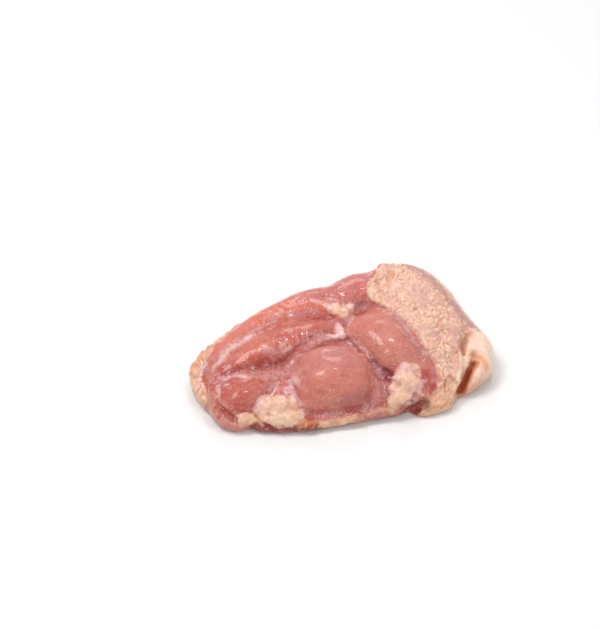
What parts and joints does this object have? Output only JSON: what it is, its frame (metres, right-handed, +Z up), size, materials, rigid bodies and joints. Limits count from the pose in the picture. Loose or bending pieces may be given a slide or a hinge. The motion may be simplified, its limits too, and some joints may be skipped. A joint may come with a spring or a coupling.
{
  "type": "raw boneless chicken thigh",
  "caption": "Raw boneless chicken thigh with its skin on, lying skin side down with the muscles and fat facing up and one end wrapped in skin.",
  "frame": {"origin": "middle of the thigh's footprint, on the surface that it lies on", "axes": "+X along the thigh, towards the end that is wrapped in skin; +Y across it, away from the side with the lumps of fat; +Z up, towards the cut meat"},
  "size_m": [0.137, 0.088, 0.0306],
  "materials": {
    "meat_and_skin": "raw pink meat with cream fat and skin, moist and softly glossy"
  },
  "bodies": {
    "root": {"chicken_thigh": "meat_and_skin"}
  },
  "joints": []
}
